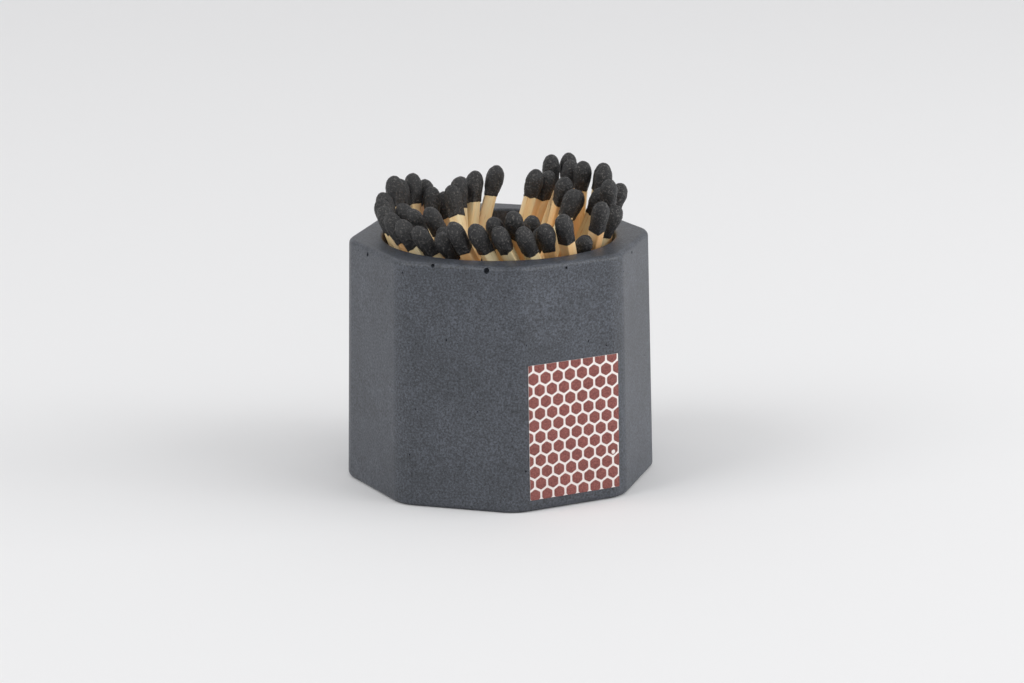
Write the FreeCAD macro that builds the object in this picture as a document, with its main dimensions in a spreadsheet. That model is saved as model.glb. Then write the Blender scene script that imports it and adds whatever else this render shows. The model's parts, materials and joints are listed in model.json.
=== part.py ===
import FreeCAD
import Part
import Sketcher
import itertools
import math
import os

# Match pot: an octagonal cast pot with a round bore, a striking label on one face and loose matches.
# The origin is under the middle of the pot, +Z is up, and the labelled face looks along -Y.

SIZES = [
    ("pot_width", 51.35, "across the flats at the pot's lower edge"),
    ("pot_height", 43.2, "from the table to the rim"),
    ("draft_angle", 1.1, "lean of each face, degrees"),
    ("corner_radius", 3.5, "upright corners"),
    ("edge_radius", 0.6, "outer edges of rim and base"),
    ("wall_thickness", 4.36, "round bore's wall at the rim, at the middle of a face"),
    ("bore_edge_radius", 0.5, "inner edge of the rim"),
    ("bore_floor_radius", 1.5, "corner between bore and floor"),
    ("floor_thickness", 6.0, "cast floor under the bore"),
    ("label_width", 17.7, "striking label"),
    ("label_height", 23.8, "striking label"),
    ("label_rise", 2.1, "label's lower edge above the pot's lower edge"),
    ("label_shift", 0.85, "label's middle to the right of the face's middle"),
    ("label_thickness", 0.2, "paper with its glue"),
    ("dot_width", 1.98, "printed dot across its flats"),
    ("dot_pitch", 2.38, "from dot to dot along a row"),
    ("dot_margin", 0.94, "first dot's middle from the label's left edge"),
    ("dot_rise", 0.75, "lowest row's middle above the label's lower edge"),
    ("dot_thickness", 0.1, "striking compound"),
    ("match_length", 48.6, "stick and head together"),
    ("stick_width", 2.1, "square stick"),
    ("stick_diagonal", 2.72, "square stick across its worn edges"),
    ("head_diameter", 3.3, "dipped head at its widest"),
    ("head_neck", 2.4, "dipped head at its lower end"),
    ("head_length", 5.0, "dipped head"),
    ("head_cap", 1.2, "head above the stick's end"),
    ("match_gap", 0.12, "least gap between two matches"),
    ("foot_gap", 0.1, "under a match's lowest corner"),
    ("pull_travel", 46.0, "how far a match is drawn out"),
    ("room_width", 4.4, "side of the free square kept among the matches"),
]

# The bundle as seen from the front: bearings run from 0 on the right over 90 at the back, in degrees.
# Insets are from the bore's wall at the rim, in mm. Leans are outwards, in degrees from upright.
BUNDLE_TURN = -28.0
BUNDLE_TWIST = -35.0
ROOM_BEARING = 72.0
ROOM_INSET = 6.0

# Rows of matches. Leans, bearings and insets are those of the first and the last match of the row.
ROWS = {
    "left_back": dict(leans=(32, 32), bearings=(119, 136), insets=(2, 2), matches=3),
    "left_high": dict(leans=(32, 28), bearings=(145, 168), insets=(3, 0), matches=4),
    "left_rim": dict(leans=(31, 34), bearings=(175, 191), insets=(0, 0), matches=3),
    "left_inner": dict(leans=(33, 33), bearings=(194, 222), insets=(5, 8), matches=3),
    "left_low": dict(leans=(36, 38), bearings=(202, 222), insets=(0, 0), matches=3),
    "front_left": dict(leans=(38, 40), bearings=(236, 252), insets=(2, 0), matches=3),
    "front_rim": dict(leans=(40, 40), bearings=(263, 284), insets=(0, 0), matches=3),
    "front_inner": dict(leans=(32, 32), bearings=(275, 312), insets=(7, 9), matches=4),
    "front_right": dict(leans=(36, 32), bearings=(294, 322), insets=(1, 1), matches=3),
    "right_low": dict(leans=(28, 24), bearings=(332, 360), insets=(1, 0), matches=3),
    "right_inner": dict(leans=(22, 22), bearings=(345, 378), insets=(8, 9), matches=3),
    "right_rim": dict(leans=(20, 16), bearings=(8, 26), insets=(0, 0), matches=4),
    "right_back": dict(leans=(14, 8), bearings=(30, 52), insets=(4, 2), matches=4),
    "back_right": dict(leans=(18, 18), bearings=(38, 50), insets=(10, 9), matches=2),
    "back_left": dict(leans=(20, 26), bearings=(100, 145), insets=(6, 12), matches=4),
}

# Settling the bundle: the heads are held near their places while the feet make room.
HOLD_STEPS = 600
MOST_STEPS = 2500
HEAD_HOLD = 0.6
LEAN_HOLD = 0.8
FOOT_SHARE = 1.0
RIM_SHARE = 0.1
RENEW_STEPS = 10
NEARBY = 2.0
SETTLED = 0.01
TINY = 1e-6
GOLDEN_ANGLE = 137.5
UPWARDS = FreeCAD.Vector(0, 0, 1)
BORE_CELL = ("Sizes.pot_width - 2 * Sizes.pot_height * tan(Sizes.draft_angle * 1 deg)"
             " - 2 * Sizes.wall_thickness")
STICK_CELL = "Sizes.match_length - Sizes.head_cap"

doc = FreeCAD.newDocument("MatchPot")
sheet = doc.addObject("Spreadsheet::Sheet", "Sizes")
for row, (alias, value, note) in enumerate(SIZES, start=1):
    sheet.set("A%d" % row, note)
    sheet.set("B%d" % row, str(value))
    sheet.setAlias("B%d" % row, alias)
doc.recompute()


def size(alias):
    return float(sheet.get(alias))


def bind(thing, **cells):
    for name, cell in cells.items():
        thing.setExpression(name, cell)


# The bore leaves the wall's thickness where the drafted faces end.
def bore_diameter():
    lost = 2 * size("pot_height") * math.tan(math.radians(size("draft_angle")))
    return size("pot_width") - lost - 2 * size("wall_thickness")


def flat_sketch(body, name):
    sketch = body.newObject("Sketcher::SketchObject", name)
    planes = [plane for plane in body.Origin.OriginFeatures if plane.Role == "XY_Plane"]
    sketch.AttachmentSupport = [(planes[0], "")]
    sketch.MapMode = "FlatFace"
    return sketch


# A regular octagon with one side along the labelled face, sized across its flats.
def octagon_sketch(body):
    sketch = flat_sketch(body, "pot_outline")
    reach = size("pot_width") / 2
    turns = [math.radians(45 * side - 112.5) for side in range(8)]
    corners = [FreeCAD.Vector(reach * math.cos(turn), reach * math.sin(turn), 0) for turn in turns]
    for side in range(8):
        sketch.addGeometry(Part.LineSegment(corners[side], corners[(side + 1) % 8]), False)
    circle = sketch.addGeometry(Part.Circle(FreeCAD.Vector(), UPWARDS, reach), True)
    for side in range(8):
        sketch.addConstraint(Sketcher.Constraint("Coincident", side, 2, (side + 1) % 8, 1))
        sketch.addConstraint(Sketcher.Constraint("PointOnObject", side, 2, circle))
    for side in range(1, 8):
        sketch.addConstraint(Sketcher.Constraint("Equal", 0, side))
    sketch.addConstraint(Sketcher.Constraint("Coincident", circle, 3, -1, 1))
    sketch.addConstraint(Sketcher.Constraint("Horizontal", 0))
    across = sketch.addConstraint(Sketcher.Constraint("Diameter", circle, 2 * reach))
    sketch.setExpression("Constraints[%d]" % across, "Sizes.pot_width / cos(22.5 deg)")
    return sketch


def round_edges(body, base, name, radius_cell, wanted):
    doc.recompute()
    fillet = body.newObject("PartDesign::Fillet", name)
    edges = base.Shape.Edges
    fillet.Base = (base, ["Edge%d" % number for number, edge in enumerate(edges, 1) if wanted(edge)])
    bind(fillet, Radius=radius_cell)
    return fillet


def is_upright(edge):
    return edge.BoundBox.ZLength > size("pot_height") / 2


def lies_at(edge, level):
    return abs(edge.BoundBox.ZMin - level) < TINY and abs(edge.BoundBox.ZMax - level) < TINY


def is_bore_edge(edge):
    return abs(edge.BoundBox.XLength - bore_diameter()) < TINY


def make_pot():
    body = doc.addObject("PartDesign::Body", "pot_body")
    block = body.newObject("PartDesign::Pad", "pot_block")
    block.Profile = octagon_sketch(body)
    bind(block, Length="Sizes.pot_height", TaperAngle="-Sizes.draft_angle")
    corners = round_edges(body, block, "pot_corners", "Sizes.corner_radius", is_upright)
    top = size("pot_height")
    rim = round_edges(body, corners, "pot_rim", "Sizes.edge_radius", lambda edge: lies_at(edge, top))
    round_edges(body, rim, "pot_base", "Sizes.edge_radius", lambda edge: lies_at(edge, 0))
    ring = flat_sketch(body, "bore_outline")
    bind(ring, **{"AttachmentOffset.Base.z": "Sizes.pot_height"})
    ring.addGeometry(Part.Circle(FreeCAD.Vector(), UPWARDS, bore_diameter() / 2), False)
    ring.addConstraint(Sketcher.Constraint("Coincident", 0, 3, -1, 1))
    across = ring.addConstraint(Sketcher.Constraint("Diameter", 0, bore_diameter()))
    ring.setExpression("Constraints[%d]" % across, BORE_CELL)
    bore = body.newObject("PartDesign::Pocket", "bore")
    bore.Profile = ring
    bind(bore, Length="Sizes.pot_height - Sizes.floor_thickness")
    floor = size("floor_thickness")
    lip = round_edges(body, bore, "bore_lip", "Sizes.bore_edge_radius",
                      lambda edge: is_bore_edge(edge) and lies_at(edge, top))
    round_edges(body, lip, "bore_corner", "Sizes.bore_floor_radius",
                lambda edge: is_bore_edge(edge) and lies_at(edge, floor))
    return body


# The label lies on its drafted face: X runs to the right, Y up the face and Z out of it, from the label's corner.
def label_placement(out):
    turn = FreeCAD.Rotation(FreeCAD.Vector(1, 0, 0), 90 - size("draft_angle"))
    face = FreeCAD.Placement(FreeCAD.Vector(0, -size("pot_width") / 2, 0), turn)
    corner = FreeCAD.Vector(size("label_shift") - size("label_width") / 2, size("label_rise"), out)
    return face.multiply(FreeCAD.Placement(corner, FreeCAD.Rotation()))


def make_label():
    paper = doc.addObject("Part::Box", "striker_paper")
    bind(paper, Length="Sizes.label_width", Width="Sizes.label_height", Height="Sizes.label_thickness")
    paper.Placement = label_placement(0)
    return paper


# Hexagons in offset rows, with two upright sides each, cut off at the label's edges.
def make_dots():
    width = size("label_width")
    height = size("label_height")
    pitch = size("dot_pitch")
    row_pitch = pitch * math.cos(math.radians(30))
    reach = size("dot_width") / 2 / math.cos(math.radians(30))
    turns = [math.radians(60 * corner + 30) for corner in range(7)]
    paper = Part.makePlane(width, height)
    dots = []
    for line in range(int(height / row_pitch) + 2):
        for place in range(int(width / pitch) + 2):
            right = size("dot_margin") + (place - line % 2 / 2) * pitch
            middle = FreeCAD.Vector(right, size("dot_rise") + line * row_pitch, 0)
            corners = [FreeCAD.Vector(math.cos(turn), math.sin(turn), 0) * reach for turn in turns]
            outline = Part.makePolygon([middle + corner for corner in corners])
            for face in paper.common(Part.Face(outline)).Faces:
                dots.append(face.extrude(FreeCAD.Vector(0, 0, size("dot_thickness"))))
    print_layer = doc.addObject("Part::Feature", "striker_dots")
    print_layer.Shape = Part.makeCompound(dots)
    print_layer.Placement = label_placement(size("label_thickness"))
    return print_layer


# Levels and lengths that the matches share, and the round space that each part of a match needs.
stick_radius = size("stick_diagonal") / 2
head_radius = size("head_diameter") / 2
bore_radius = bore_diameter() / 2
match_gap = size("match_gap")
floor_level = size("floor_thickness")
foot_level = floor_level + size("foot_gap") + stick_radius
rim_level = size("pot_height")
foot_limit = bore_radius - size("bore_floor_radius") - stick_radius
neck_length = size("match_length") - size("head_length")
drawn_length = size("match_length") + size("pull_travel")


def heading(bearing):
    turn = math.radians(bearing + BUNDLE_TURN)
    return FreeCAD.Vector(math.cos(turn), math.sin(turn), 0)


# A match is the line from its foot, at the foot level, through its place at the rim.
class Match:
    def __init__(self, lean, bearing, distance):
        self.reach = (rim_level - foot_level) * math.tan(math.radians(lean))
        self.home = heading(bearing) * distance + FreeCAD.Vector(0, 0, rim_level)
        self.rim = FreeCAD.Vector(self.home)
        self.foot = self.home - heading(bearing + BUNDLE_TWIST) * self.reach
        self.foot.z = foot_level
        self.foot_share = FOOT_SHARE
        self.rim_share = RIM_SHARE
        self.radii = (stick_radius, head_radius)

    # Where the stick and the head, drawn out, run along the line: shares of the way from foot to rim.
    def spans(self):
        length = (self.rim - self.foot).Length
        neck = neck_length / length
        return ((-stick_radius / length, neck), (neck, drawn_length / length))

    def whole(self):
        return (self.spans()[0][0], self.spans()[1][1])

    def move(self, share, step):
        self.foot += step * (self.foot_share * (1 - share))
        self.rim += step * (self.rim_share * share)

    # Draws the match back to its place at the rim, and its foot to the planned lean.
    def hold(self, strength):
        self.rim += (self.home - self.rim) * (HEAD_HOLD * strength)
        back = FreeCAD.Vector(self.foot.x - self.rim.x, self.foot.y - self.rim.y, 0)
        if back.Length > TINY:
            self.foot += back * (LEAN_HOLD * strength * (self.reach / back.Length - 1))

    def keep_in_bore(self):
        slant = (self.rim - self.foot).Length / (rim_level - foot_level)
        rim_limit = bore_radius - match_gap - head_radius * slant
        for point, limit in ((self.foot, foot_limit), (self.rim, rim_limit)):
            out = math.hypot(point.x, point.y)
            if out > limit:
                point.x *= limit / out
                point.y *= limit / out


def clamp(value, span):
    return min(max(value, span[0]), span[1])


# The shares along two lines at which they come nearest to each other, each kept to its span.
def nearest(first, second, first_span, second_span):
    along = first.rim - first.foot
    across = second.rim - second.foot
    between = first.foot - second.foot
    along_along = along.dot(along)
    along_across = along.dot(across)
    across_across = across.dot(across)
    along_between = along.dot(between)
    across_between = across.dot(between)
    flat = along_along * across_across - along_across ** 2
    share = first_span[0]
    if flat > TINY:
        share = (along_across * across_between - across_across * along_between) / flat
    share = clamp(share, first_span)
    other = clamp((along_across * share + across_between) / across_across, second_span)
    share = clamp((along_across * other - along_between) / along_along, first_span)
    return share, other, between + along * share - across * other


def level_way(apart):
    way = FreeCAD.Vector(apart.x, apart.y, 0)
    return way.normalize() if way.Length > TINY else FreeCAD.Vector(1, 0, 0)


# Pushes two matches apart wherever they would come too near, and gives how much was lacking.
def push_apart(first, second):
    lacking = 0.0
    for first_span, first_radius in zip(first.spans(), first.radii):
        for second_span, second_radius in zip(second.spans(), second.radii):
            share, other, apart = nearest(first, second, first_span, second_span)
            short = first_radius + second_radius + match_gap - apart.Length
            if short <= 0:
                continue
            lacking = max(lacking, short)
            way = level_way(apart)
            weight = first.foot_share * (1 - share) ** 2 + first.rim_share * share ** 2
            weight += second.foot_share * (1 - other) ** 2 + second.rim_share * other ** 2
            first.move(share, way * (short / weight))
            second.move(other, way * (-short / weight))
    return lacking


# The free room is an upright line that the matches keep away from and that never moves.
def free_room():
    room = Match(0, ROOM_BEARING, bore_radius - ROOM_INSET)
    room.foot_share = 0.0
    room.rim_share = 0.0
    room.radii = (size("room_width") / math.sqrt(2), size("room_width") / math.sqrt(2))
    return room


def near_pairs(lines):
    pairs = []
    for first, second in itertools.combinations(lines, 2):
        wide = max(first.radii) + max(second.radii) + NEARBY
        if nearest(first, second, first.whole(), second.whole())[2].Length < wide:
            pairs.append((first, second))
    return pairs


def settle(matches):
    room = free_room()
    for step in range(MOST_STEPS):
        strength = max(0.0, 1 - step / HOLD_STEPS)
        if step % RENEW_STEPS == 0:
            pairs = near_pairs(matches + [room])
        for match in matches:
            match.hold(strength)
        lacking = max(push_apart(first, second) for first, second in pairs)
        for match in matches:
            match.keep_in_bore()
        if strength == 0 and lacking < SETTLED:
            break
    print("settled in", step, "steps, lacking", round(lacking, 3), "mm")


def between(ends, share):
    return ends[0] + (ends[1] - ends[0]) * share


def planned_row(leans, bearings, insets, matches):
    row = []
    for number in range(matches):
        share = number / (matches - 1)
        distance = bore_radius - between(insets, share)
        row.append(Match(between(leans, share), between(bearings, share), distance))
    return row


# A match's own frame: its lowest corner stands on the bore's floor, and Z runs up the stick.
def match_placement(match, number):
    way = (match.rim - match.foot).normalize()
    lift = size("foot_gap") + stick_radius * math.hypot(way.x, way.y)
    foot = match.foot + way * ((floor_level + lift - foot_level) / way.z)
    lean = FreeCAD.Rotation(UPWARDS, way)
    roll = FreeCAD.Rotation(UPWARDS, number * GOLDEN_ANGLE)
    return FreeCAD.Placement(foot, lean.multiply(roll))


def shifted(placement, x, y, z):
    return placement.multiply(FreeCAD.Placement(FreeCAD.Vector(x, y, z), FreeCAD.Rotation()))


# A square stick whose long edges are worn round.
def make_stick(name, placement):
    block = doc.addObject("Part::Box", name + "_block")
    bind(block, Length="Sizes.stick_width", Width="Sizes.stick_width", Height=STICK_CELL)
    half = size("stick_width") / 2
    block.Placement = shifted(placement, -half, -half, 0)
    edges = doc.addObject("Part::Cylinder", name + "_edges")
    bind(edges, Radius="Sizes.stick_diagonal / 2", Height=STICK_CELL)
    edges.Placement = placement
    stick = doc.addObject("Part::Common", name)
    stick.Base = block
    stick.Tool = edges
    return stick


# A dipped head: a round cap on a narrowing sleeve, with the square stick let into it.
def make_head(name, placement, stick):
    cap = doc.addObject("Part::Sphere", name + "_cap")
    bind(cap, Radius="Sizes.head_diameter / 2")
    cap.Placement = shifted(placement, 0, 0, size("match_length") - head_radius)
    sleeve = doc.addObject("Part::Cone", name + "_sleeve")
    bind(sleeve, Radius1="Sizes.head_neck / 2", Radius2="Sizes.head_diameter / 2",
         Height="Sizes.head_length - Sizes.head_diameter / 2")
    sleeve.Placement = shifted(placement, 0, 0, neck_length)
    bulb = doc.addObject("Part::Fuse", name + "_bulb")
    bulb.Base = cap
    bulb.Tool = sleeve
    head = doc.addObject("Part::Cut", name)
    head.Base = bulb
    head.Tool = stick
    return head


# Each match is one node of two solids, because its head never comes off its stick.
def make_matches():
    names = []
    matches = []
    for name, plan in ROWS.items():
        for number, match in enumerate(planned_row(**plan), start=1):
            names.append("%s_match_%d" % (name, number))
            matches.append(match)
    settle(matches)
    nodes = []
    for number, (name, match) in enumerate(zip(names, matches)):
        placement = match_placement(match, number)
        stick = make_stick(name + "_stick", placement)
        node = doc.addObject("Part::Compound", name)
        node.Links = [stick, make_head(name + "_head", placement, stick)]
        nodes.append(node)
    return nodes


nodes = [make_pot(), make_label(), make_dots()]
nodes += make_matches()
doc.recompute()

for thing in doc.Objects:
    if "Invalid" in thing.State or "Error" in thing.State:
        raise ValueError("%s failed" % thing.Label)
for node in nodes:
    if node.Shape.isNull() or not node.Shape.isValid() or not node.Shape.Solids:
        raise ValueError("%s has no sound shape" % node.Label)

os.makedirs("parts", exist_ok=True)
for node in nodes:
    node.Shape.exportStep("parts/%s.step" % node.Label)
print(len(nodes), "nodes")
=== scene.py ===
import bmesh
import bpy
import json
import math
import random
from mathutils import Matrix, Quaternion, Vector


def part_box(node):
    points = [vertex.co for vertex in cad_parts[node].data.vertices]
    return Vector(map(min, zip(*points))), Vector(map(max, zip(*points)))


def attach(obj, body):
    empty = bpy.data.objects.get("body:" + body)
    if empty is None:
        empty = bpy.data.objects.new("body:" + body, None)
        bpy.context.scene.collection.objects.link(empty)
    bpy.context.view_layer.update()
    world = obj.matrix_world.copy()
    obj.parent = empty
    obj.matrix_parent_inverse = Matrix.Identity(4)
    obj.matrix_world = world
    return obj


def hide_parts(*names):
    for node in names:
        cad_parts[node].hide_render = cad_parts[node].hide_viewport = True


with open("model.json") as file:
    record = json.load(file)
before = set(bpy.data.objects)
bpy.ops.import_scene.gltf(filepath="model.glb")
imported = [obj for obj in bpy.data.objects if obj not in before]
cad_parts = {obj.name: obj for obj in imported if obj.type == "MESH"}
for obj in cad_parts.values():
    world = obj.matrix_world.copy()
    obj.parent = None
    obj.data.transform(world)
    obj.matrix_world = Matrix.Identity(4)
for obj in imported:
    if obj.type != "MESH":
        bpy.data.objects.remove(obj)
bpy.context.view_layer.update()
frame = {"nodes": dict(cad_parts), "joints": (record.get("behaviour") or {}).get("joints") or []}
mm = 0.001
tiny = 0.01 * mm  # what lies closer than this counts as in the same place
cutSlack = 0.001 * mm  # a bisect leaves what lies this close to its plane
nearlyUp = 0.9  # cosine past which a direction counts as upright
dice = random.Random(7)
print("frame loaded:", len(frame["nodes"]), "nodes")


# small helpers for working by hand in object and edit mode

def pickOnly(*pieces):
    if bpy.context.mode != "OBJECT":
        bpy.ops.object.mode_set(mode="OBJECT")
    bpy.ops.object.select_all(action="DESELECT")
    for piece in pieces:
        piece.select_set(True)
    bpy.context.view_layer.objects.active = pieces[0]


def newPiece(name, addPrimitive, **settings):
    bpy.ops.object.select_all(action="DESELECT")
    addPrimitive(**settings)
    piece = bpy.context.object
    piece.name = name
    piece.data.name = name
    bpy.ops.object.transform_apply(location=True, rotation=True, scale=True)
    return piece


def startEditing(piece):
    pickOnly(piece)
    bpy.ops.object.mode_set(mode="EDIT")


def stopEditing():
    bpy.ops.object.mode_set(mode="OBJECT")


def selectParts(kind, wanted):
    bpy.ops.mesh.select_mode(type=kind)
    bpy.ops.mesh.select_all(action="DESELECT")
    mesh = bpy.context.edit_object.data
    form = bmesh.from_edit_mesh(mesh)
    for part in {"VERT": form.verts, "EDGE": form.edges, "FACE": form.faces}[kind]:
        part.select_set(wanted(part))
    form.select_flush_mode()
    bmesh.update_edit_mesh(mesh)


def liesAt(edge, level):
    return all(abs(vert.co.z - level) < tiny for vert in edge.verts)


def isUpright(edge):
    way = (edge.verts[0].co - edge.verts[1].co).normalized()
    return abs(way.z) > nearlyUp


def facesUp(face):
    return face.normal.z > nearlyUp


def applyModifier(piece, kind, **settings):
    pickOnly(piece)
    modifier = piece.modifiers.new(kind, kind)
    for setting, value in settings.items():
        setattr(modifier, setting, value)
    bpy.ops.object.modifier_apply(modifier=modifier.name)


def cutAway(piece, cutter):
    applyModifier(piece, "BOOLEAN", operation="DIFFERENCE", object=cutter, solver="EXACT",
                  use_self=True)  # the pits of one cutter overlap
    pickOnly(cutter)
    bpy.ops.object.delete()


def duplicate(piece, name):
    pickOnly(piece)
    bpy.ops.object.duplicate()
    copy = bpy.context.object
    copy.name = name
    copy.data.name = name
    return copy


def putAt(piece, place):
    pickOnly(piece)
    piece.matrix_world = place
    bpy.ops.object.transform_apply(location=True, rotation=True, scale=True)


def cloudTexture(name, grainSize, depth=2):
    texture = bpy.data.textures.new(name, "CLOUDS")
    texture.noise_scale = grainSize
    texture.noise_depth = depth
    return texture


def roughen(piece, texture, height):
    applyModifier(piece, "DISPLACE", texture=texture, texture_coords="LOCAL", strength=height,
                  mid_level=0.5)


def smooth(piece, angle):
    pickOnly(piece)
    bpy.ops.object.shade_smooth_by_angle(angle=math.radians(angle))


# material helpers

def tone(red, green, blue):
    def linear(value):
        value /= 255
        return value / 12.92 if value <= 0.04045 else ((value + 0.055) / 1.055) ** 2.4
    return (linear(red), linear(green), linear(blue), 1)


def newMaterial(name, roughness):
    material = bpy.data.materials.new(name)
    material.use_nodes = True
    shader = material.node_tree.nodes["Principled BSDF"]
    shader.inputs["Roughness"].default_value = roughness
    return material, material.node_tree, shader


def addNode(tree, kind, inputs=None, **settings):
    node = tree.nodes.new(kind)
    for setting, value in settings.items():
        setattr(node, setting, value)
    for socket, value in (inputs or {}).items():
        if isinstance(value, bpy.types.NodeSocket):
            tree.links.new(value, node.inputs[socket])
        else:
            node.inputs[socket].default_value = value
    return node


def noise(tree, coords, scale, detail=3, roughness=0.55):
    inputs = {"Vector": coords, "Scale": scale, "Detail": detail, "Roughness": roughness}
    return addNode(tree, "ShaderNodeTexNoise", inputs).outputs["Fac"]


def ramp(tree, value, stops):
    node = addNode(tree, "ShaderNodeValToRGB", {"Fac": value})
    elements = node.color_ramp.elements
    while len(elements) < len(stops):
        elements.new(0.5)
    for element, (place, colour) in zip(elements, stops):
        element.position = place
        element.color = colour
    return node.outputs["Color"]


def grey(value):
    return (value, value, value, 1)


def mixColour(tree, share, first, second, blend="MIX"):
    node = addNode(tree, "ShaderNodeMix", data_type="RGBA", blend_type=blend)
    # a mix node's colours go in at 6 and 7 and come out at 2
    for socket, value in ((node.inputs[0], share), (node.inputs[6], first), (node.inputs[7], second)):
        if isinstance(value, bpy.types.NodeSocket):
            tree.links.new(value, socket)
        else:
            socket.default_value = value
    return node.outputs[2]


def bump(tree, shader, layers):
    normal = None
    for height, strength, distance in layers:
        inputs = {"Height": height, "Strength": strength, "Distance": distance}
        if normal:
            inputs["Normal"] = normal
        normal = addNode(tree, "ShaderNodeBump", inputs).outputs["Normal"]
    tree.links.new(normal, shader.inputs["Normal"])


def objectCoords(tree):
    return addNode(tree, "ShaderNodeTexCoord").outputs["Object"]


def paint(piece, material):
    piece.data.materials.clear()
    piece.data.materials.append(material)


# the cast pot

pot = {
    "width": 51.35, "draft": 1.1, "cornerRadius": 5.5, "edgeRadius": 0.9,
    "wall": 4.36, "lipRadius": 0.5, "floor": 6.0, "floorRadius": 1.5,
    "sides": 8, "cornerSteps": 10, "edgeSteps": 5, "floorSteps": 6, "boreSides": 160, "sharpAngle": 35,
}
halfTurn = math.pi / pot["sides"]  # half the turn from one side of the pot to the next

# pits seen on the pot: turn of the side in degrees, then place across it, height and diameter in mm
pits = [
    (-45, 5.3, 42.5, 1.15), (-45, -4.3, 42.8, 0.75), (-45, -9.8, 41.2, 0.55), (-45, -10.1, 12.2, 0.3),
    (-45, -8.6, 43.1, 0.35), (0, 10.4, 43.1, 0.5), (0, 8.2, 43.0, 0.4), (0, 3.9, 28.8, 0.35),
]
pitShape = {"widths": (0.8, 1.1), "depth": 2.2, "heights": (0.9, 1.3), "roundness": 2}
strayPits = {
    "count": 80, "smallest": 0.14, "largest": 0.36, "spread": 9, "margin": 1,
    "rimShare": 0.1, "rimSize": 0.8, "rimShrink": (0.5, 1), "rimZone": (0.1, 1.5),
}


def potSide(turn, across, up):
    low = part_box("pot_body")[0]
    lean = (up * mm - low.z) * math.tan(math.radians(pot["draft"]))
    turned = Matrix.Rotation(math.radians(turn), 3, "Z")
    return turned @ Vector((across * mm, -(pot["width"] * mm / 2 - lean), up * mm))


def buildOuterBlock():
    low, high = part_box("pot_body")
    height = high.z - low.z
    width = pot["width"] * mm
    block = newPiece(
        "pot_cast", bpy.ops.mesh.primitive_cylinder_add, vertices=pot["sides"], depth=height,
        radius=width / 2 / math.cos(halfTurn),
        location=(0, 0, (low.z + high.z) / 2), rotation=(0, 0, halfTurn),
    )
    startEditing(block)
    selectParts("FACE", facesUp)
    drawnIn = 1 - 2 * height * math.tan(math.radians(pot["draft"])) / width
    bpy.ops.transform.resize(value=(drawnIn, drawnIn, 1), center_override=(0, 0, high.z))
    selectParts("EDGE", isUpright)
    run = pot["cornerRadius"] * mm * math.tan(halfTurn)
    bpy.ops.mesh.bevel(offset=run, segments=pot["cornerSteps"], affect="EDGES")
    selectParts("EDGE", lambda edge: liesAt(edge, high.z) or liesAt(edge, low.z))
    bpy.ops.mesh.bevel(offset=pot["edgeRadius"] * mm, segments=pot["edgeSteps"], affect="EDGES")
    stopEditing()
    return block


def buildBoreCutter():
    low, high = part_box("pot_body")
    lip = pot["lipRadius"] * mm
    lost = 2 * (high.z - low.z) * math.tan(math.radians(pot["draft"]))
    radius = (pot["width"] * mm - lost) / 2 - pot["wall"] * mm
    floorLevel = low.z + pot["floor"] * mm
    depth = high.z - lip - floorLevel
    cutter = newPiece(
        "bore_cutter", bpy.ops.mesh.primitive_cylinder_add, vertices=pot["boreSides"], radius=radius,
        depth=depth, location=(0, 0, floorLevel + depth / 2),
    )
    startEditing(cutter)
    selectParts("EDGE", lambda edge: liesAt(edge, floorLevel))
    bpy.ops.mesh.bevel(offset=pot["floorRadius"] * mm, segments=pot["floorSteps"], affect="EDGES")
    selectParts("FACE", facesUp)
    wide, level = radius, high.z - lip
    for step in range(1, pot["edgeSteps"] + 1):  # the rounded lip flares out to the rim
        turn = math.radians(90 * step / pot["edgeSteps"])
        newWide = radius + lip * (1 - math.cos(turn))
        newLevel = high.z - lip + lip * math.sin(turn)
        bpy.ops.mesh.extrude_region_move(TRANSFORM_OT_translate={"value": (0, 0, newLevel - level)})
        grow = newWide / wide
        bpy.ops.transform.resize(value=(grow, grow, 1), center_override=(0, 0, newLevel))
        wide, level = newWide, newLevel
    # the cutter stands out above the rim
    bpy.ops.mesh.extrude_region_move(TRANSFORM_OT_translate={"value": (0, 0, lip)})
    stopEditing()
    return cutter


def buildPit(turn, across, up, diameter):
    pit = newPiece("pit", bpy.ops.mesh.primitive_ico_sphere_add, subdivisions=pitShape["roundness"],
                   radius=diameter * mm / 2)
    stretch = (dice.uniform(*pitShape["widths"]), pitShape["depth"], dice.uniform(*pitShape["heights"]))
    side = Quaternion((0, 0, 1), math.radians(turn))
    putAt(pit, Matrix.LocRotScale(potSide(turn, across, up), side, stretch))
    return pit


def buildPits():
    low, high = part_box("pot_body")
    cutters = [buildPit(*pit) for pit in pits]
    for number in range(strayPits["count"]):
        growth = dice.random() ** 2  # most stay small
        diameter = strayPits["smallest"] + (strayPits["largest"] - strayPits["smallest"]) * growth
        up = dice.uniform(low.z / mm + strayPits["margin"], high.z / mm - strayPits["margin"])
        if dice.random() < strayPits["rimShare"]:  # air gathers under the rim
            diameter = strayPits["rimSize"] * dice.uniform(*strayPits["rimShrink"])
            up = high.z / mm - dice.uniform(*strayPits["rimZone"])
        turn = 360 / pot["sides"] * dice.randrange(pot["sides"])
        across = dice.uniform(-strayPits["spread"], strayPits["spread"])
        cutters.append(buildPit(turn, across, up, diameter))
    pickOnly(*cutters)
    bpy.ops.object.join()
    return bpy.context.object


concrete = {
    "darkTone": (57, 61, 68), "lightTone": (71, 75, 83), "fleckTone": (44, 47, 53),
    "roughness": 0.46, "sheen": 0.6,
    "cloudScale": 55, "mottleScale": 420, "sandScale": 2900, "fleckScale": 900,
    "mottleShades": (0.82, 1.16), "sandShades": (0.25, 1.9),
}


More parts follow.
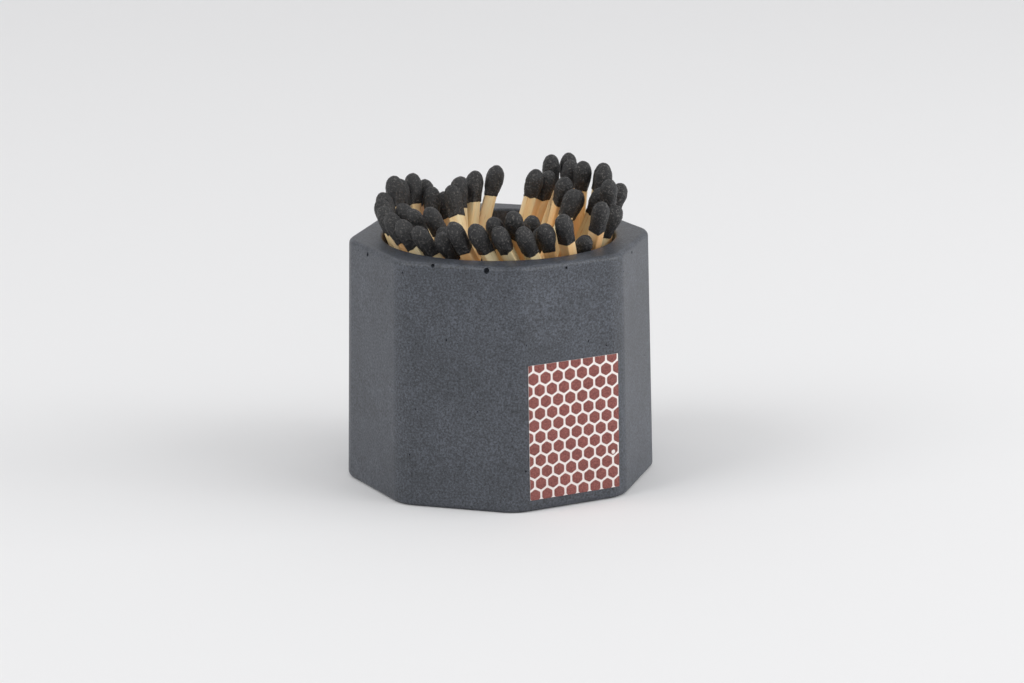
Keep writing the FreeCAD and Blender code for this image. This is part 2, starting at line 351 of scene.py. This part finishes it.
def makeConcrete():
    material, tree, shader = newMaterial("cast_concrete", concrete["roughness"])
    shader.inputs["Specular IOR Level"].default_value = concrete["sheen"]
    coords = objectCoords(tree)
    cloudy = noise(tree, coords, concrete["cloudScale"], 4)
    mottled = noise(tree, coords, concrete["mottleScale"], 5, 0.65)
    sandy = noise(tree, coords, concrete["sandScale"], 3, 0.75)
    blotches = ramp(tree, cloudy, [(0.3, tone(*concrete["darkTone"])), (0.7, tone(*concrete["lightTone"]))])
    dark, light = concrete["mottleShades"]
    shade = ramp(tree, mottled, [(0.3, grey(dark)), (0.5, grey(1.0)), (0.72, grey(light))])
    colour = mixColour(tree, 1, blotches, shade, "MULTIPLY")
    dark, light = concrete["sandShades"]
    grains = ramp(tree, sandy, [(0.32, grey(dark)), (0.5, grey(1.0)), (0.68, grey(light))])
    colour = mixColour(tree, 1, colour, grains, "MULTIPLY")
    cells = {"Vector": coords, "Scale": concrete["fleckScale"]}
    flecks = addNode(tree, "ShaderNodeTexVoronoi", cells).outputs["Distance"]
    fleckMask = ramp(tree, flecks, [(0.05, grey(0.8)), (0.13, grey(0))])
    colour = mixColour(tree, fleckMask, colour, tone(*concrete["fleckTone"]))
    tree.links.new(colour, shader.inputs["Base Color"])
    bump(tree, shader, [(mottled, 0.12, 0.15 * mm), (sandy, 0.3, 0.06 * mm), (fleckMask, -0.25, 0.05 * mm)])
    return material


def buildPot():
    body = buildOuterBlock()
    cutAway(body, buildBoreCutter())
    cutAway(body, buildPits())
    smooth(body, pot["sharpAngle"])
    applyModifier(body, "WEIGHTED_NORMAL", keep_sharp=True)
    paint(body, makeConcrete())
    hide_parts("pot_body")
    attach(body, "pot")
    print("pot cast:", len(body.data.polygons), "faces")


# the striking label and its printed dots

label = {
    "width": 17.7, "height": 23.8, "rise": 2.1, "shift": 0.85, "thickness": 0.1,
    "cornerRadius": 0.15, "cornerSteps": 4, "edge": 0.02, "edgeSteps": 2, "folds": 3, "sharpAngle": 40,
    "paperTone": (248, 241, 238), "fibreTone": (238, 226, 221), "fibreScale": 1400, "roughness": 0.6,
}
dots = {
    "width": 1.98, "pitch": 2.38, "margin": 0.94, "rise": 0.75, "thickness": 0.05,
    "corner": 0.2, "cornerSteps": 3, "softEdge": 0.04, "wallShare": 0.6, "sharpAngle": 40,
    "chip": (16.5, 6.4), "chipSize": 0.8, "chipSides": 9,
    "darkTone": (102, 50, 47), "lightTone": (158, 95, 88),
    "gritScale": 3800, "patchScale": 260, "roughness": 0.75,
}
hexagonShare = math.cos(math.radians(30))  # width over the flats as a share of that over the corners


def labelPlace(out):
    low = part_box("pot_body")[0]
    foot = Matrix.Translation((0, -pot["width"] * mm / 2, low.z))
    tilt = Matrix.Rotation(math.radians(90 - pot["draft"]), 4, "X")
    corner = Vector((label["shift"] - label["width"] / 2, label["rise"], out)) * mm
    return foot @ tilt @ Matrix.Translation(corner)


def foldOverCorner(piece, base):
    lean = (label["rise"] + label["height"] / 2) * math.tan(math.radians(pot["draft"]))
    flatHalf = (pot["width"] / 2 - lean - pot["cornerRadius"]) * math.tan(halfTurn)
    flatEnd = flatHalf + label["width"] / 2 - label["shift"]
    step = (label["width"] - flatEnd) / label["folds"]
    if step <= 0:
        return
    startEditing(piece)
    for number in range(label["folds"]):
        bpy.ops.mesh.select_all(action="SELECT")
        line = (flatEnd + (number + 0.5) * step) * mm
        bpy.ops.mesh.bisect(plane_co=(line, 0, 0), plane_no=(1, 0, 0), threshold=cutSlack)
    across, out, turned = flatEnd + step / 2, base, 0
    bend = step / pot["cornerRadius"]
    for number in range(label["folds"]):  # the end past the flat follows the pot's rounded corner
        selectParts("VERT", lambda vert: vert.co.x > across * mm + tiny)
        bpy.ops.transform.rotate(value=-bend, orient_axis="Y", center_override=(across * mm, 0, out * mm))
        turned += bend
        across += step * math.cos(turned)
        out -= step * math.sin(turned)
    stopEditing()


def makePaper():
    material, tree, shader = newMaterial("label_paper", label["roughness"])
    coords = objectCoords(tree)
    fibres = noise(tree, coords, label["fibreScale"], 5, 0.7)
    tint = ramp(tree, fibres, [(0.3, tone(*label["fibreTone"])), (0.6, tone(*label["paperTone"]))])
    tree.links.new(tint, shader.inputs["Base Color"])
    bump(tree, shader, [(fibres, 0.15, 0.03 * mm)])
    return material


def buildPaper():
    wide, high, thick = label["width"] * mm, label["height"] * mm, label["thickness"] * mm
    paper = newPiece("striker_label", bpy.ops.mesh.primitive_cube_add, size=1, scale=(wide, high, thick),
                     location=(wide / 2, high / 2, thick / 2))
    startEditing(paper)
    selectParts("EDGE", isUpright)
    bpy.ops.mesh.bevel(offset=label["cornerRadius"] * mm, segments=label["cornerSteps"], affect="EDGES")
    selectParts("EDGE", lambda edge: liesAt(edge, thick))
    bpy.ops.mesh.bevel(offset=label["edge"] * mm, segments=label["edgeSteps"], affect="EDGES")
    stopEditing()
    foldOverCorner(paper, 0)
    smooth(paper, label["sharpAngle"])
    putAt(paper, labelPlace(0))
    paint(paper, makePaper())
    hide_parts("striker_paper")
    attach(paper, "pot")
    print("label cut")


def makeStrikingCompound():
    material, tree, shader = newMaterial("striking_compound", dots["roughness"])
    coords = objectCoords(tree)
    grit = noise(tree, coords, dots["gritScale"], 3, 0.75)
    patchy = noise(tree, coords, dots["patchScale"], 3)
    tint = ramp(tree, grit, [(0.3, tone(*dots["darkTone"])), (0.68, tone(*dots["lightTone"]))])
    shade = ramp(tree, patchy, [(0.3, grey(0.9)), (0.7, grey(1.08))])
    tree.links.new(mixColour(tree, 1, tint, shade, "MULTIPLY"), shader.inputs["Base Color"])
    bump(tree, shader, [(grit, 0.5, 0.06 * mm)])
    return material


def buildDot():
    reach = dots["width"] * mm / 2 / hexagonShare
    dot = newPiece("striker_print", bpy.ops.mesh.primitive_circle_add, vertices=6, radius=reach,
                   fill_type="NGON")
    startEditing(dot)
    bpy.ops.mesh.select_all(action="SELECT")
    bpy.ops.mesh.bevel(offset=dots["corner"] * mm, segments=dots["cornerSteps"], affect="VERTICES")
    bpy.ops.mesh.select_all(action="SELECT")
    rise = dots["thickness"] * mm
    wall = dots["wallShare"] * rise
    bpy.ops.mesh.extrude_region_move(TRANSFORM_OT_translate={"value": (0, 0, wall)})
    bpy.ops.mesh.inset(thickness=dots["softEdge"] * mm, depth=0)
    bpy.ops.transform.translate(value=(0, 0, rise - wall))
    bpy.ops.mesh.select_all(action="SELECT")
    bpy.ops.mesh.normals_make_consistent(inside=False)
    stopEditing()
    return dot


def lineUp(dot, across, up, columns, lines):
    putAt(dot, Matrix.Translation((across * mm, up * mm, 0)))
    pitch = dots["pitch"] * mm
    rowPitch = pitch * hexagonShare
    applyModifier(dot, "ARRAY", count=columns, use_relative_offset=False, use_constant_offset=True,
                  constant_offset_displace=(pitch, 0, 0))
    applyModifier(dot, "ARRAY", count=lines, use_relative_offset=False, use_constant_offset=True,
                  constant_offset_displace=(0, 2 * rowPitch, 0))


def trimToLabel(piece):
    startEditing(piece)
    wide, high = label["width"] * mm, label["height"] * mm
    for corner, out in (((0, 0, 0), (-1, 0, 0)), ((0, 0, 0), (0, -1, 0)),
                        ((wide, high, 0), (1, 0, 0)), ((wide, high, 0), (0, 1, 0))):
        bpy.ops.mesh.select_all(action="SELECT")
        bpy.ops.mesh.bisect(plane_co=corner, plane_no=out, use_fill=True, clear_outer=True,
                            threshold=cutSlack)
    stopEditing()


def buildDots():
    rowPitch = dots["pitch"] * hexagonShare
    columns = int(label["width"] / dots["pitch"]) + 2
    lines = int(label["height"] / rowPitch / 2) + 1
    evenRows = buildDot()
    oddRows = duplicate(evenRows, "odd_rows")
    lineUp(evenRows, dots["margin"], dots["rise"], columns, lines)
    lineUp(oddRows, dots["margin"] - dots["pitch"] / 2, dots["rise"] + rowPitch, columns, lines)
    pickOnly(evenRows, oddRows)
    bpy.ops.object.join()
    trimToLabel(evenRows)
    right, up = dots["chip"]
    chip = newPiece("chip", bpy.ops.mesh.primitive_cylinder_add, vertices=dots["chipSides"],
                    depth=4 * dots["thickness"] * mm, radius=dots["chipSize"] * mm / 2,
                    location=(right * mm, up * mm, 0))
    cutAway(evenRows, chip)
    foldOverCorner(evenRows, -label["thickness"])
    smooth(evenRows, dots["sharpAngle"])
    putAt(evenRows, labelPlace(label["thickness"]))
    paint(evenRows, makeStrikingCompound())
    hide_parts("striker_dots")
    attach(evenRows, "pot")
    print("dots printed:", len(evenRows.data.polygons), "faces")


# the matches

stick = {
    "width": 2.1, "edge": 0.2, "edgeSteps": 2, "topInHead": 3.0, "kinds": 6, "kindGap": 10,
    "columns": 4, "rings": 14, "fibre": 12, "fibreSize": 0.7, "wobble": 0.12,
    "cutZone": 0.8, "cutLevel": 0.6, "cutShape": (0.97, 0.97, 0.3), "sharpAngle": 45,
    "paleTone": (255, 240, 198), "honeyTone": (255, 220, 160),
    "orangeTone": (246, 176, 102), "fibreTone": (216, 158, 94),
    "grainStretch": (1, 1, 0.06), "kindStretch": (0.12, 0.12, 0.012),
    "broadScale": 0.8, "fineScale": 4.5, "roughness": 0.55,
}
head = {
    "radius": 1.65, "upper": 2.3, "lower": 4.2, "length": 5.8, "coat": 0.12, "slant": 14, "kinds": 8,
    "drops": (0.85, 1.15), "slims": (0.93, 1.01), "dips": (0.88, 1.08),
    "segments": 32, "rings": 20, "grown": 0.15, "softening": 0.5, "softSteps": 4, "sharpAngle": 60,
    "lumpSize": 1.1, "lumpHeight": 0.14, "grainSize": 0.32, "grainHeight": 0.12,
    # the brightest tone is a painted glint colour for the light specks on the heads
    "darkTone": (24, 24, 26), "lightTone": (46, 46, 47), "glintTone": (104, 101, 98),
    "gritScale": 3000, "blotchScale": 900, "roughness": 0.5,
}


def matchFrame(node):
    mesh = frame["nodes"][node].data
    joint = next(joint for joint in frame["joints"] if joint["child"] == node)
    axis = Vector(joint["axis"]).normalized()
    square = 0.01  # cosine up to which a face stands along the stick
    sides = [face for face in mesh.polygons if abs(face.normal.dot(axis)) < square]
    side = max(sides, key=lambda face: face.area).normal
    side = (side - axis * side.dot(axis)).normalized()
    turn = Matrix((side, axis.cross(side), axis))
    spots = [turn @ vert.co for vert in mesh.vertices]
    low = Vector([min(spot[i] for spot in spots) for i in range(3)])
    high = Vector([max(spot[i] for spot in spots) for i in range(3)])
    foot = turn.transposed() @ Vector(((low.x + high.x) / 2, (low.y + high.y) / 2, low.z))
    return Matrix.Translation(foot) @ turn.transposed().to_4x4(), high.z - low.z


def buildStick(number, length):
    wide = stick["width"] * mm
    squat = length / stick["fibre"]  # roughened while squat, so that the roughness draws out into fibres
    apart = number * stick["kindGap"] * mm  # each kind meets another part of the texture
    piece = newPiece("stick_kind_%d" % number, bpy.ops.mesh.primitive_cube_add, size=1,
                     scale=(wide, wide, squat), location=(0, 0, squat / 2))
    startEditing(piece)
    selectParts("EDGE", isUpright)
    bpy.ops.mesh.bevel(offset=stick["edge"] * mm, segments=stick["edgeSteps"], affect="EDGES")
    selectParts("EDGE", lambda edge: not isUpright(edge) and edge.calc_length() > wide / 2)
    bpy.ops.mesh.subdivide(number_cuts=stick["columns"])
    selectParts("EDGE", isUpright)
    bpy.ops.mesh.subdivide(number_cuts=stick["rings"])
    bpy.ops.mesh.select_all(action="SELECT")
    bpy.ops.transform.translate(value=(0, 0, apart))
    stopEditing()
    roughen(piece, cloudTexture("fibres", stick["fibreSize"] * mm), stick["wobble"] * mm)
    startEditing(piece)
    bpy.ops.mesh.select_all(action="SELECT")
    bpy.ops.transform.translate(value=(0, 0, -apart))
    bpy.ops.transform.resize(value=(1, 1, stick["fibre"]), center_override=(0, 0, 0))
    selectParts("VERT", lambda vert: vert.co.z < stick["cutZone"] * mm)
    bpy.ops.transform.resize(value=stick["cutShape"], center_override=(0, 0, stick["cutLevel"] * mm))
    stopEditing()
    smooth(piece, stick["sharpAngle"])
    return piece


def buildHead(number, length):
    radius = head["radius"] * mm
    middle = length - head["upper"] * mm
    bulb = newPiece("head_kind_%d" % number, bpy.ops.mesh.primitive_uv_sphere_add, radius=radius,
                    segments=head["segments"], ring_count=head["rings"], location=(0, 0, middle))
    startEditing(bulb)
    selectParts("VERT", lambda vert: vert.co.z > middle + tiny)
    bpy.ops.transform.resize(value=(1, 1, head["upper"] * mm / radius), center_override=(0, 0, middle))
    selectParts("VERT", lambda vert: vert.co.z < middle - tiny)
    drop = head["lower"] * dice.uniform(*head["drops"]) * mm / radius
    bpy.ops.transform.resize(value=(1, 1, drop), center_override=(0, 0, middle))
    bpy.ops.mesh.select_all(action="SELECT")
    slim = (dice.uniform(*head["slims"]), dice.uniform(*head["slims"]), 1)
    bpy.ops.transform.resize(value=slim, center_override=(0, 0, middle))
    stopEditing()
    end = length - head["length"] * dice.uniform(*head["dips"]) * mm
    wide = (stick["width"] + 2 * head["coat"]) * mm
    coat = newPiece("coat", bpy.ops.mesh.primitive_cube_add, size=1, scale=(wide, wide, middle - end),
                    location=(0, 0, (middle + end) / 2))
    startEditing(coat)
    selectParts("EDGE", isUpright)
    bpy.ops.mesh.bevel(offset=stick["edge"] * mm, segments=stick["edgeSteps"], affect="EDGES")
    selectParts("VERT", lambda vert: vert.co.z < end + tiny)
    for axis in "XY":  # each dip ends on a slant of its own
        slant = math.radians(dice.uniform(-head["slant"], head["slant"]))
        bpy.ops.transform.rotate(value=slant, orient_axis=axis, center_override=(0, 0, end))
    stopEditing()
    pickOnly(bulb, coat)
    bpy.ops.object.join()
    applyModifier(bulb, "REMESH", mode="VOXEL", voxel_size=head["grown"] * mm)
    applyModifier(bulb, "SMOOTH", factor=head["softening"], iterations=head["softSteps"])
    return bulb


def keepGrain(piece, shift):  # the grain runs along the stick, wherever the stick is put
    grain = piece.data.attributes.new("grain", "FLOAT_VECTOR", "POINT")
    spots = [value for vert in piece.data.vertices for value in vert.co / mm + shift]
    grain.data.foreach_set("vector", spots)


def makeMatchWood():
    material, tree, shader = newMaterial("match_wood", stick["roughness"])
    grain = addNode(tree, "ShaderNodeAttribute", attribute_name="grain").outputs["Vector"]
    along, piecewise = (
        addNode(tree, "ShaderNodeMapping", {"Vector": grain, "Scale": stretch}).outputs["Vector"]
        for stretch in (stick["grainStretch"], stick["kindStretch"])
    )
    broad = noise(tree, along, stick["broadScale"], 3)
    fine = noise(tree, along, stick["fineScale"], 3, 0.65)
    kind = noise(tree, piecewise, 1.0, 1)
    tint = ramp(tree, broad, [(0.3, tone(*stick["honeyTone"])), (0.62, tone(*stick["paleTone"]))])
    warm = ramp(tree, kind, [(0.46, grey(0)), (0.64, grey(0.7))])
    colour = mixColour(tree, warm, tint, tone(*stick["orangeTone"]))
    streaks = ramp(tree, fine, [(0.3, grey(0.6)), (0.42, grey(0))])
    colour = mixColour(tree, streaks, colour, tone(*stick["fibreTone"]))
    tree.links.new(colour, shader.inputs["Base Color"])
    bump(tree, shader, [(fine, 0.35, 0.05 * mm)])
    return material


def makeHeadCompound():
    material, tree, shader = newMaterial("head_compound", head["roughness"])
    coords = objectCoords(tree)
    grit = noise(tree, coords, head["gritScale"], 3, 0.7)
    blotches = noise(tree, coords, head["blotchScale"], 3)
    tint = ramp(tree, blotches, [(0.3, tone(*head["darkTone"])), (0.75, tone(*head["lightTone"]))])
    # light specks painted into the head's colour: painted glints on the grit
    glints = ramp(tree, grit, [(0.54, grey(0)), (0.66, grey(0.9))])
    tree.links.new(mixColour(tree, glints, tint, tone(*head["glintTone"])), shader.inputs["Base Color"])
    bump(tree, shader, [(blotches, 0.3, 0.1 * mm), (grit, 1.0, 0.26 * mm)])
    return material


def buildMatches():
    nodes = [joint["child"] for joint in frame["joints"]]
    length = matchFrame(nodes[0])[1]
    sticks = [buildStick(number, length - stick["topInHead"] * mm) for number in range(stick["kinds"])]
    heads = [buildHead(number, length) for number in range(head["kinds"])]
    wood, compound = makeMatchWood(), makeHeadCompound()
    lumps = cloudTexture("lumps", head["lumpSize"] * mm)
    grains = cloudTexture("grains", head["grainSize"] * mm)
    for node in nodes:
        place = matchFrame(node)[0]
        quarter = Matrix.Rotation(math.radians(90 * dice.randrange(4)), 4, "Z")
        body = duplicate(dice.choice(sticks), node + "_stick")
        keepGrain(body, Vector([dice.uniform(-500, 500) for axis in range(3)]))  # no two sticks alike
        putAt(body, place @ quarter)
        paint(body, wood)
        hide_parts(node)
        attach(body, node)
        tip = duplicate(dice.choice(heads), node + "_head")
        putAt(tip, place @ quarter)
        roughen(tip, lumps, head["lumpHeight"] * mm)
        roughen(tip, grains, head["grainHeight"] * mm)
        smooth(tip, head["sharpAngle"])
        paint(tip, compound)
        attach(tip, node)
    pickOnly(*sticks, *heads)
    bpy.ops.object.delete()
    print("matches dipped:", len(nodes))


# the floor, the lights and the camera

studio = {
    "floorTone": (238, 238, 239), "roughness": 0.9, "sheen": 0.1, "drop": 0.02,
    "floorWidth": 3.0, "floorFront": 1.0, "floorBack": 0.9, "wallHeight": 1.4,
    "sweepRadius": 0.5, "sweepSteps": 16, "sharpAngle": 60,
    "worldTone": (255, 255, 255), "worldStrength": 0.65,
    "lamps": {  # bearing from the camera, elevation, distance, size, power
        "left": (-62, 42, 1.5, 0.85, 6.3),
        "right": (64, 38, 1.5, 0.85, 3.7),
        "low_right": (86, 20, 0.8, 0.5, 1.8),
    },
}
view = {
    "azimuth": -28.0, "elevation": 14.58, "distance": 0.6706, "target": (0, 0, 0.0215), "roll": 0.495,
    "focalPixels": 3779.0, "targetPixel": (500.0, 353.1), "imageSize": (1024, 683), "sensor": 36.0,
    "nearest": 0.01, "farthest": 20,
}


def fromCamera(bearing, elevation, distance):
    turn = math.radians(view["azimuth"] + bearing)
    rise = math.radians(elevation)
    flat = math.cos(rise) * distance
    away = Vector((math.sin(turn) * flat, -math.cos(turn) * flat, math.sin(rise) * distance))
    return Vector(view["target"]) + away


def buildFloor():
    back, front = studio["floorBack"], studio["floorFront"]
    middle = (0, (back - front) / 2, 0)
    floor = newPiece("floor", bpy.ops.mesh.primitive_plane_add, size=1, location=middle)
    startEditing(floor)
    bpy.ops.mesh.select_all(action="SELECT")
    bpy.ops.transform.resize(value=(studio["floorWidth"], back + front, 1), center_override=middle)
    selectParts("EDGE", lambda edge: all(vert.co.y > back - tiny for vert in edge.verts))
    radius, steps = studio["sweepRadius"], studio["sweepSteps"]
    for step in range(steps):  # the backdrop rises in one smooth bend
        first, second = (math.radians(90 * turn / steps) for turn in (step, step + 1))
        run = radius * (math.sin(second) - math.sin(first))
        rise = radius * (math.cos(first) - math.cos(second))
        bpy.ops.mesh.extrude_region_move(TRANSFORM_OT_translate={"value": (0, run, rise)})
    bpy.ops.mesh.extrude_region_move(TRANSFORM_OT_translate={"value": (0, 0, studio["wallHeight"])})
    bpy.ops.mesh.select_all(action="SELECT")
    bpy.ops.mesh.normals_make_consistent(inside=False)
    stopEditing()
    smooth(floor, studio["sharpAngle"])
    turned = Matrix.Rotation(math.radians(view["azimuth"]), 4, "Z")
    putAt(floor, Matrix.Translation((0, 0, -studio["drop"] * mm)) @ turned)  # just clear of the pot's foot
    material, tree, shader = newMaterial("pale_floor", studio["roughness"])
    shader.inputs["Base Color"].default_value = tone(*studio["floorTone"])
    shader.inputs["Specular IOR Level"].default_value = studio["sheen"]
    paint(floor, material)
    print("floor laid")


def buildLights():
    world = bpy.data.worlds.new("studio")
    world.use_nodes = True
    background = world.node_tree.nodes["Background"]
    background.inputs["Color"].default_value = tone(*studio["worldTone"])
    background.inputs["Strength"].default_value = studio["worldStrength"]
    bpy.context.scene.world = world
    for name, (bearing, elevation, distance, size, power) in studio["lamps"].items():
        lamp = bpy.data.lights.new(name + "_softbox", "AREA")
        lamp.size = size
        lamp.energy = power
        box = bpy.data.objects.new(name + "_softbox", lamp)
        bpy.context.scene.collection.objects.link(box)
        box.location = fromCamera(bearing, elevation, distance)
        box.rotation_mode = "QUATERNION"
        box.rotation_quaternion = (Vector(view["target"]) - box.location).to_track_quat("-Z", "Y")
    print("lamps hung:", len(studio["lamps"]))


def buildCamera():
    lens = bpy.data.cameras.new("camera")
    camera = bpy.data.objects.new("camera", lens)
    bpy.context.scene.collection.objects.link(camera)
    wide, high = view["imageSize"]
    lens.sensor_width = view["sensor"]
    lens.lens = view["focalPixels"] / wide * view["sensor"]
    lens.shift_x = (wide / 2 - view["targetPixel"][0]) / wide
    lens.shift_y = (view["targetPixel"][1] - high / 2) / wide
    lens.clip_start, lens.clip_end = view["nearest"], view["farthest"]
    camera.location = fromCamera(0, view["elevation"], view["distance"])
    camera.rotation_mode = "QUATERNION"
    ahead = (Vector(view["target"]) - camera.location).to_track_quat("-Z", "Y")
    camera.rotation_quaternion = ahead @ Quaternion((0, 0, 1), -math.radians(view["roll"]))
    bpy.context.scene.camera = camera
    bpy.context.scene.view_settings.view_transform = "Standard"
    print("camera set")


buildPot()
buildPaper()
buildDots()
buildMatches()
buildFloor()
buildLights()
buildCamera()
